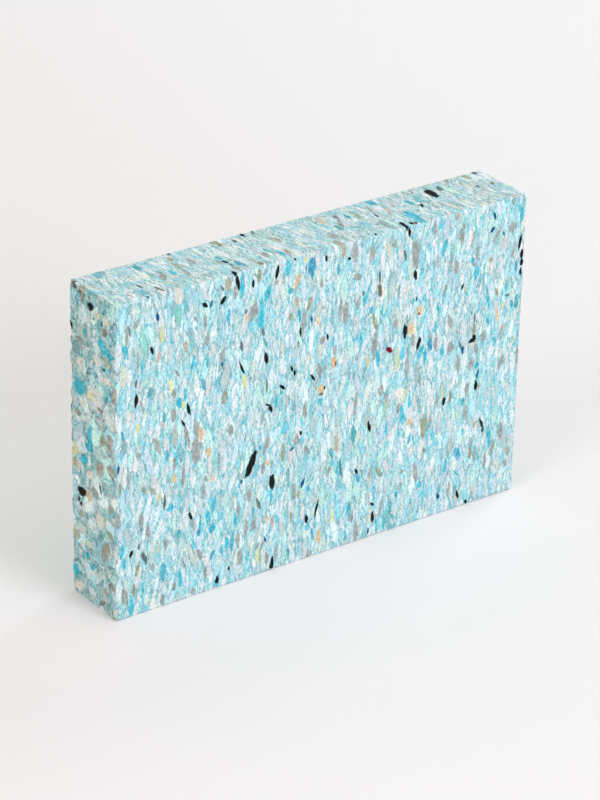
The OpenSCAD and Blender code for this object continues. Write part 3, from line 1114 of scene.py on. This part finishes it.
# %% [markdown]
# The material has to know which accent chip a spot may belong to. So every face of
# the skin stores its nearest lens: the face's corners hold their place inside the
# lens, where the rim is at distance one, and the face holds the lens's colour. The
# outline itself is drawn by the material, so it can be finer than the mesh.

# %% Store the nearest lens on every face
far_away = 9.0
lens_margin = 2.5
lens_power = 1.3
tint_range = (0.88, 1.1)


def lens_reach(place):
    """0 at a lens's middle and 1 at its rim, for places in unit lens space."""
    return np.abs(place[..., 0]) ** lens_power + place[..., 1] ** 2 + place[..., 2] ** 2


corner_points = np.empty(len(skin.data.loops), np.int32)
skin.data.loops.foreach_get("vertex_index", corner_points)
corners = rest_points[corner_points].reshape(-1, 4, 3)
face_middles = corners.mean(axis=1)
nearest_reach = np.full(len(corners), far_away)
chip_place = np.full(corners.shape, far_away)
chip_tint = np.zeros((len(corners), 3))
for colour, middle, rows in lenses:
    box_reach = np.sqrt(((1 / np.linalg.norm(rows, axis=1)) ** 2).sum()) + lens_margin
    near = np.flatnonzero((np.abs(face_middles - middle) < box_reach).all(axis=1))
    reach = lens_reach((face_middles[near] - middle) @ rows.T)
    won = near[reach < nearest_reach[near]]
    nearest_reach[near] = np.minimum(reach, nearest_reach[near])
    chip_place[won] = (corners[won] - middle) @ rows.T
    chip_tint[won] = np.array(accent_paints[colour][:3]) * rng.uniform(*tint_range)
name_attribute(skin, "chip_place", "FLOAT_VECTOR", "CORNER", chip_place)
name_attribute(skin, "chip_tint", "FLOAT_VECTOR", "FACE", chip_tint)
print(f"{(nearest_reach < 1).mean():.1%} of the skin lies in an accent chip")

# %% [markdown]
# ## The colours
# Most chips are pale: undyed, minty, pinkish, lilac or icy foam, with a few taupe
# and cream ones. Each layer of chips has its own palette, a list of colours with
# their shares, and the random tone of a chip picks one of them. The finest layer
# is the crumb between the chips. It has taken up most of the dye, so it is aqua.

# %% Choose the palettes
white = paint(223, 235, 234)
pink_white = paint(227, 228, 226)
lilac_white = paint(207, 223, 232)
mint_white = paint(199, 235, 225)
cream_white = paint(225, 232, 221)
ice = paint(188, 229, 235)
sky = paint(157, 211, 227)
aqua = paint(153, 218, 226)
deep_aqua = paint(126, 205, 217)
bright_cyan = paint(91, 201, 221)
grey_blue = paint(143, 185, 187)
taupe = paint(163, 173, 166)
pale_taupe = paint(193, 204, 198)
cream = paint(213, 219, 181)
binder_cyan = paint(118, 207, 220)
binder_teal = paint(101, 176, 183)
seam_binder_and_shade = paint(48, 110, 120)
grey_teal_binder = paint(104, 168, 165)
top_pale_white = paint(236, 228, 222)
chalk = paint(215, 227, 219)

palettes = {
    "crumb": (
        (aqua, 28), (deep_aqua, 11), (white, 24), (ice, 30), (bright_cyan, 2), (grey_blue, 5),
    ),
    "small": (
        (ice, 20), (white, 38), (aqua, 6), (mint_white, 12), (grey_blue, 3), (pale_taupe, 4),
        (pink_white, 11), (sky, 3), (bright_cyan, 3),
    ),
    "middle": (
        (ice, 10), (white, 42), (mint_white, 11), (pink_white, 12), (lilac_white, 8), (aqua, 2),
        (grey_blue, 2), (taupe, 2), (pale_taupe, 3), (cream, 1), (cream_white, 7),
    ),
    "big": (
        (white, 34), (mint_white, 16), (ice, 19), (pink_white, 9), (lilac_white, 9),
        (pale_taupe, 3), (cream_white, 10),
    ),
}
print("palettes:", ", ".join(f"{name} {len(palette)}" for name, palette in palettes.items()))

# %% Write the colour helpers


def palette_ramp(tree, tone, palette):
    """Turns a random tone into one of a palette's colours, each by its share."""
    ramp = tree.nodes.new("ShaderNodeValToRGB")
    ramp.color_ramp.interpolation = "CONSTANT"
    plug(tree, tone, ramp.inputs["Fac"])
    total = sum(share for _, share in palette)
    start = 0.0
    for number, (colour, share) in enumerate(palette):
        if number < 2:
            stop = ramp.color_ramp.elements[number]
            stop.position = start
        else:
            stop = ramp.color_ramp.elements.new(start)
        stop.color = colour
        start += share / total
    return ramp.outputs["Color"]


def scaled(tree, colour, factor):
    """A colour made darker or lighter by a factor."""
    result = vector_maths(tree, "SCALE", colour)
    plug(tree, factor, result.node.inputs["Scale"])
    return result


def stored_vector(tree, name):
    """A vector that the skin has stored under a name."""
    node = tree.nodes.new("ShaderNodeAttribute")
    node.attribute_name = name
    return node.outputs["Vector"]


print("colour helpers ready")

# %% [markdown]
# Around every chip runs a seam of binder, which has taken up dye too. It tints the chip's rim, in
# some places more than in others, and in places turns to a thin dark teal line: dark binder with
# painted shade in the gap between the chips. A fine mottling of dyed and bare spots runs over chips
# and crumb alike. On the moulded end nothing was cut away, so there the rims are broader and
# duller, with a greyer teal binder in them, and the chips differ more in shade. There the seam
# lines are wider and darker, as painted shade in the valleys between the chips, and on the top they
# are darker too.

# %% Find where binder, rims and seams come up
rim_band = 0.4
end_rim_band = 0.55
rim_least = 0.3
rim_most = 0.95
seam_width = 0.26
end_shaded_seam_width = 0.36
seam_strength = 0.58
end_gap_shade_boost = 0.4
top_seam_darkening = 0.55
end_binder_greying = 0.32
top_outer_depth = 0.5
top_inner_depth = 1.5
pattern_squash = (1.0, 0.5, 0.5)
binder_blotches = dict(grain=7.0, low=0.46, high=0.62, detail=2.0)
rim_blotches = dict(grain=2.4, low=0.36, high=0.62)
seam_blotches = dict(grain=1.1, low=0.42, high=0.68)


def blotches(tree, place, grain, low, high, detail=1.0):
    """1 in the blotches of a noise and 0 between them, with a ramp from low to high."""
    return smooth_step(tree, noise(tree, place, grain, detail)[0], low, high)


foam = bpy.data.materials.new("chip_foam")
foam.use_nodes = True
tree = foam.node_tree
shader = tree.nodes["Principled BSDF"]
place = stored_vector(tree, "rest_place")
squashed_place = vector_maths(tree, "MULTIPLY", place, pattern_squash)
by_end = near_end(tree, place)
level_z = axes_of(tree, place)["Z"]
by_top = smooth_step(tree, level_z, height - top_inner_depth, height - top_outer_depth)
binder = mix_colours(tree, blotches(tree, place, **binder_blotches), binder_cyan, binder_teal)
binder = mix_colours(tree, times(tree, by_end, end_binder_greying), binder, grey_teal_binder)
band = between(tree, by_end, rim_band, end_rim_band)
rim_share = between(tree, blotches(tree, squashed_place, **rim_blotches), rim_least, rim_most)
seam_reach = between(tree, by_end, seam_width, end_shaded_seam_width)
seam_share = times(tree, blotches(tree, squashed_place, **seam_blotches), seam_strength)
# painted shade: the seam lines are made darker on the moulded end, in the valleys between its
# chips, and darker on the top
seam_boost = maths(tree, "MULTIPLY_ADD", by_end, end_gap_shade_boost, 1.0)
seam_boost = maths(tree, "MULTIPLY_ADD", by_top, top_seam_darkening, seam_boost)
seam_share = times(tree, seam_share, seam_boost)
print(f"seams are {seam_width} wide, and {end_shaded_seam_width} on the moulded end")

# %% Colour the bed
shade_spread = 0.3
end_shade_spread = 0.64
rim_start = -0.05
seam_middle = 0.03
layers = lay_layers(tree, place)
spread = between(tree, by_end, shade_spread, end_shade_spread)
colour = palette_ramp(tree, layers["crumb"]["Tone"], palettes["crumb"])
for name in ("small", "middle", "big"):
    layer = layers[name]
    own_shade = maths(tree, "SUBTRACT", 0.5, layer["Shade"])
    own_shade = maths(tree, "MULTIPLY_ADD", own_shade, spread, 1.0)
    chip_colour = scaled(tree, palette_ramp(tree, layer["Tone"], palettes[name]), own_shade)
    rim = rest_of(tree, smooth_step(tree, layer["Crown"], rim_start, band))
    rimmed = mix_colours(tree, times(tree, rim, rim_share), chip_colour, binder)
    colour = mix_colours(tree, layer["Inside"], colour, rimmed)
    off_rim = maths(tree, "ABSOLUTE", maths(tree, "SUBTRACT", layer["Crown"], seam_middle))
    seam = rest_of(tree, smooth_step(tree, off_rim, 0.0, seam_reach))
    seam = times(tree, times(tree, seam, seam_share), layer["Held"])
    # the seam line is dark binder with painted shade in the gap between the chips
    colour = mix_colours(tree, seam, colour, seam_binder_and_shade)
print(f"chips differ in shade by {shade_spread:.0%}, and {end_shade_spread:.0%} on the end")

# %% Mottle the bed with dye
dye_strength = 0.42
mottle_dye = 0.38
mottle_white = 0.34
mottle_grain = 1.25
dyed_levels = (0.52, 0.72)
bare_levels = (0.46, 0.28)
dye_blotches = dict(grain=2.6, low=0.46, high=0.72)
dye_share = times(tree, blotches(tree, squashed_place, **dye_blotches), dye_strength)
colour = mix_colours(tree, dye_share, colour, binder)
mottling, _ = noise(tree, squashed_place, mottle_grain, 1.0)
dyed = times(tree, smooth_step(tree, mottling, *dyed_levels), mottle_dye)
colour = mix_colours(tree, dyed, colour, binder)
bare = times(tree, smooth_step(tree, mottling, *bare_levels), mottle_white)
colour = mix_colours(tree, bare, colour, white)
print(f"the bed takes {len(tree.nodes)} nodes")

# %% [markdown]
# Two sides differ from the rest. Chalky foam dust clings to the moulded end, and the top is mixed a
# little towards a pale, warm white.

# %% Dust the end and pale the top
end_chalk = 0.19
top_whitening = 0.12
chalk_blotches = dict(grain=1.7, low=0.42, high=0.66, detail=2.0)
chalky = times(tree, blotches(tree, place, **chalk_blotches), end_chalk)
colour = mix_colours(tree, times(tree, chalky, by_end), colour, chalk)
colour = mix_colours(tree, times(tree, by_top, top_whitening), colour, top_pale_white)
print(f"dust on the end {end_chalk:.0%}, fading on the top {top_whitening:.0%}")

# %% [markdown]
# An accent chip is drawn where its lens is: the distance from its middle, measured
# in lens space, is below one. Noise bends and frays that outline, as no shredded
# chip has a smooth one. Within it the chip's colour is mottled, and a pale or
# bright chip lets a little of the bed show through, while black ones stay solid.

# %% Outline the accent chips
lens_warp = 1.3
lens_warp_grain = 3.0
lens_fray = 0.6
lens_fray_grain = 1.1
lens_soft = 0.25
end_lens_soft = 0.4
lens_drift = wander(tree, squashed_place, lens_warp_grain, (lens_warp, lens_warp, lens_warp))
bent_lens = vector_maths(tree, "ADD", stored_vector(tree, "chip_place"), lens_drift)
across, upright, inward = (maths(tree, "ABSOLUTE", part) for part in axes_of(tree, bent_lens))
reach = maths(tree, "POWER", across, lens_power)
reach = maths(tree, "MULTIPLY_ADD", upright, upright, reach)
reach = maths(tree, "MULTIPLY_ADD", inward, inward, reach)
fray, _ = noise(tree, squashed_place, lens_fray_grain, 2.0)
reach = maths(tree, "MULTIPLY_ADD", swing(tree, fray), lens_fray, reach)
soft = between(tree, by_end, lens_soft, end_lens_soft)
rim_ends = maths(tree, "ADD", 1.0, soft)
in_lens = rest_of(tree, smooth_step(tree, reach, rest_of(tree, soft), rim_ends))
print("accent outlines bend by noise up to", lens_warp / 2, "of a lens")

# %% Colour the accent chips
lens_seam = 0.35
lens_seam_share = 0.5
lens_grain = 1.7
lens_mottling = 0.4
lens_veil = 0.3
veil_levels = (-0.1, 0.2)
bright_levels = (0.1, 0.3)
by_rim = maths(tree, "ABSOLUTE", maths(tree, "SUBTRACT", reach, 1.0))
rim_line = rest_of(tree, smooth_step(tree, by_rim, 0.0, lens_seam))
rim_line = times(tree, rim_line, times(tree, seam_share, lens_seam_share))
mottle = swing(tree, noise(tree, squashed_place, lens_grain, 1.0)[0])
chip_tints = stored_vector(tree, "chip_tint")
tint = scaled(tree, chip_tints, maths(tree, "MULTIPLY_ADD", mottle, 2 * lens_mottling, 1.0))
veil = smooth_step(tree, mottle, *veil_levels)
veil = times(tree, veil, smooth_step(tree, axes_of(tree, chip_tints)["Y"], *bright_levels))
veil = maths(tree, "MULTIPLY_ADD", veil, -lens_veil, 1.0)
colour = mix_colours(tree, times(tree, in_lens, veil), colour, tint)
# a thin dark teal line round each accent chip: dark binder with painted shade in the gap round it
colour = mix_colours(tree, rim_line, colour, seam_binder_and_shade)
print(f"accent chips let {lens_veil:.0%} of the bed show through at most")

# %% [markdown]
# Sawn foam is matt and full of open pores. The pores darken the colour a little,
# since light gets lost in them, and a fine Bump gives them depth, down to the walls
# of single cells, which are too small for the mesh.

# %% Open the pores
pore_grain = 0.8
pore_shading = 0.95
end_painted_shade = 0.03
pore_depth = 0.14
cell_grain = 0.45
cell_share = 0.5
roughness_least = 0.86
roughness_spread = 0.1
foam_specular = 0.2
pore, _ = noise(tree, squashed_place, pore_grain, 1.0)
pore_shade = maths(tree, "MULTIPLY_ADD", swing(tree, pore), pore_shading, 1.0)
colour = scaled(tree, colour, pore_shade)
# painted shade: the whole moulded end, which stands in half shade, is made a little darker
colour = scaled(tree, colour, maths(tree, "MULTIPLY_ADD", by_end, -end_painted_shade, 1.0))
plug(tree, colour, shader.inputs["Base Color"])
shader.inputs["Specular IOR Level"].default_value = foam_specular
fine_cells, _ = noise(tree, place, cell_grain, 1.0)
pore_level = maths(tree, "MULTIPLY_ADD", fine_cells, cell_share, pore)
pores = tree.nodes.new("ShaderNodeBump")
pores.inputs["Strength"].default_value = 1.0
pores.inputs["Distance"].default_value = pore_depth * MM
plug(tree, pore_level, pores.inputs["Height"])
plug(tree, pores.outputs["Normal"], shader.inputs["Normal"])
roughness_most = roughness_least + roughness_spread
pore_roughness = maths(tree, "MULTIPLY_ADD", pore, -roughness_spread, roughness_most)
plug(tree, pore_roughness, shader.inputs["Roughness"])
skin.data.materials.clear()
skin.data.materials.append(foam)
print(f"the foam's material has {len(tree.nodes)} nodes")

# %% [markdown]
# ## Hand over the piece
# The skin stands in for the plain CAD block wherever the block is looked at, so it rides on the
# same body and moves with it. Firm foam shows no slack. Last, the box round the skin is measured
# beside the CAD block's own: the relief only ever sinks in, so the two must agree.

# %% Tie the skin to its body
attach(skin, "root")
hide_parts("foam_block")
skin_low, skin_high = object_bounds()
past_high = [round((a - b) / MM, 2) for a, b in zip(skin_high, cad_high)]
past_low = [round((b - a) / MM, 2) for a, b in zip(skin_low, cad_low)]
print("skin past the CAD block, in mm:", past_high, "and at the low side:", past_low)
